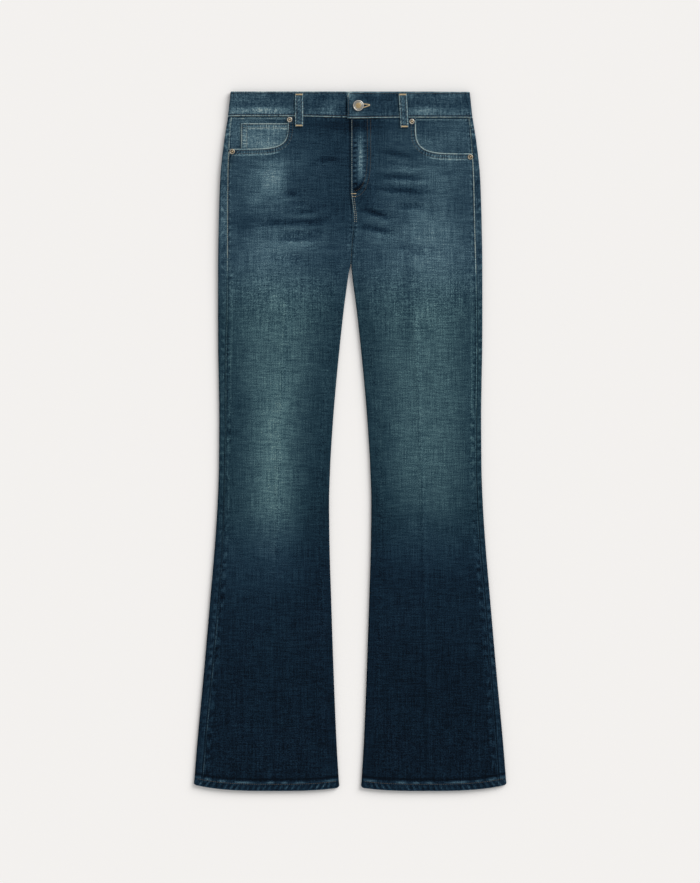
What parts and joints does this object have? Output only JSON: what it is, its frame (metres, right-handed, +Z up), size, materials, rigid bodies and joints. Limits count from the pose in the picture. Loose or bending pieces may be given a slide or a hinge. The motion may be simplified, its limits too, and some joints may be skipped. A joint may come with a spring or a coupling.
{
  "type": "flared jeans",
  "caption": "Flared five-pocket denim jeans laid flat with the front up: buttoned waistband with belt loops, curved front pockets with a coin pocket, and wide hems.",
  "frame": {"origin": "on the surface the jeans lie on, under the middle of their box", "axes": "+Y towards the waist, +Z up out of the front, +X towards the wearer's left"},
  "size_m": [0.4914, 1.1, 0.015],
  "materials": {
    "denim": "washed indigo twill",
    "antique_metal": "antiqued, satin"
  },
  "bodies": {
    "root": {"front_panel_right": "denim", "front_panel_left": "denim", "back_panel_right": "denim", "back_panel_left": "denim", "back_yoke_right": "denim", "back_yoke_left": "denim", "waistband_right": "denim", "waistband_left": "denim", "pocket_facing_right": "denim", "pocket_facing_left": "denim", "coin_pocket": "denim", "belt_loop_front_right": "denim", "belt_loop_front_left": "denim", "belt_loop_back_right": "denim", "belt_loop_back_centre": "denim", "belt_loop_back_left": "denim", "back_pocket_right": "denim", "back_pocket_left": "denim", "waist_button": "antique_metal", "rivet_waist_right": "antique_metal", "rivet_side_right": "antique_metal", "rivet_waist_left": "antique_metal", "rivet_side_left": "antique_metal"}
  },
  "joints": []
}
